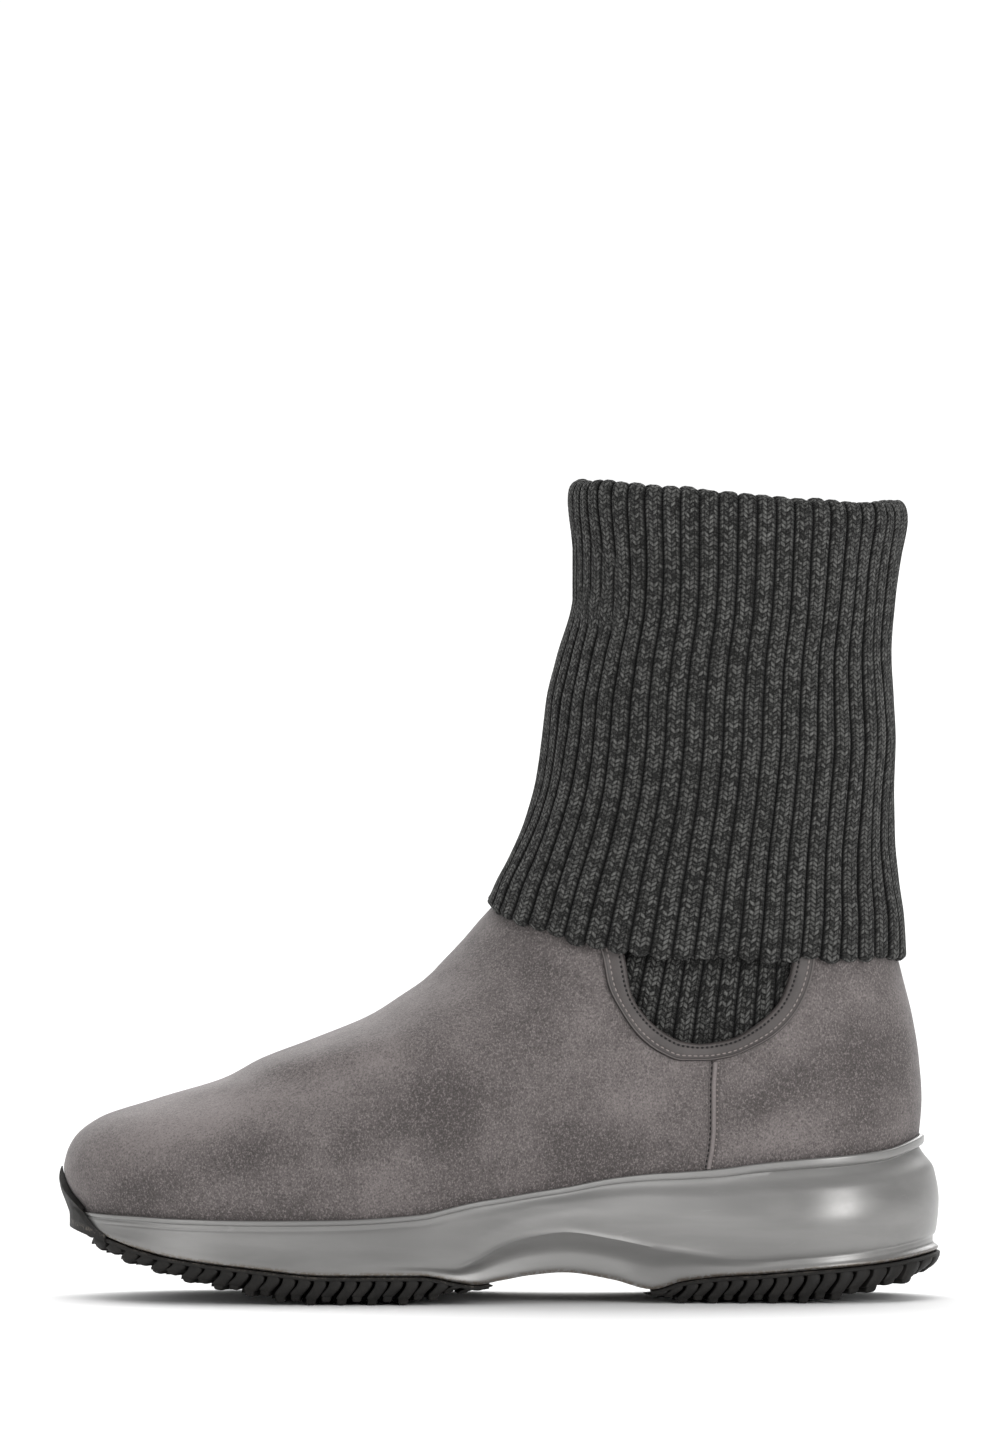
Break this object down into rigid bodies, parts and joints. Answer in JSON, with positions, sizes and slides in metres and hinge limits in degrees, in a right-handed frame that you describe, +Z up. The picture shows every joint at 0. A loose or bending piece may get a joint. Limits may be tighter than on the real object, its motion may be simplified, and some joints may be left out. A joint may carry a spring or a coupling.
{
  "type": "tall boot",
  "caption": "Tall pull-on boot with suede foot, folded ribbed knit cuff, side gores and a two-part lugged rubber sole",
  "frame": {"origin": "centre of the bounding box at ground level", "axes": "-X to the toe, +X to the heel, -Y to the lateral side, +Z up"},
  "size_m": [0.274, 0.0982, 0.254],
  "materials": {
    "suede": "grey suede with a soft nap",
    "knit": "charcoal heather rib knit",
    "moulded_sole": "moulded foam rubber with a satin pearl grey coat",
    "footbed": "matte fabric footbed",
    "forefoot_rubber": "matte black rubber",
    "heel_rubber": "matte black rubber",
    "lateral_binding": "smooth taupe leather",
    "medial_binding": "smooth taupe leather",
    "lateral_seam": "raised suede seam",
    "medial_seam": "raised suede seam"
  },
  "bodies": {
    "root": {"upper": "suede", "knit_shaft": "knit", "midsole": "moulded_sole", "insole": "footbed", "outsole_forefoot": "forefoot_rubber", "outsole_heel": "heel_rubber", "gore_binding_lateral": "lateral_binding", "gore_binding_medial": "medial_binding", "side_seam_lateral": "lateral_seam", "side_seam_medial": "medial_seam"}
  },
  "joints": []
}
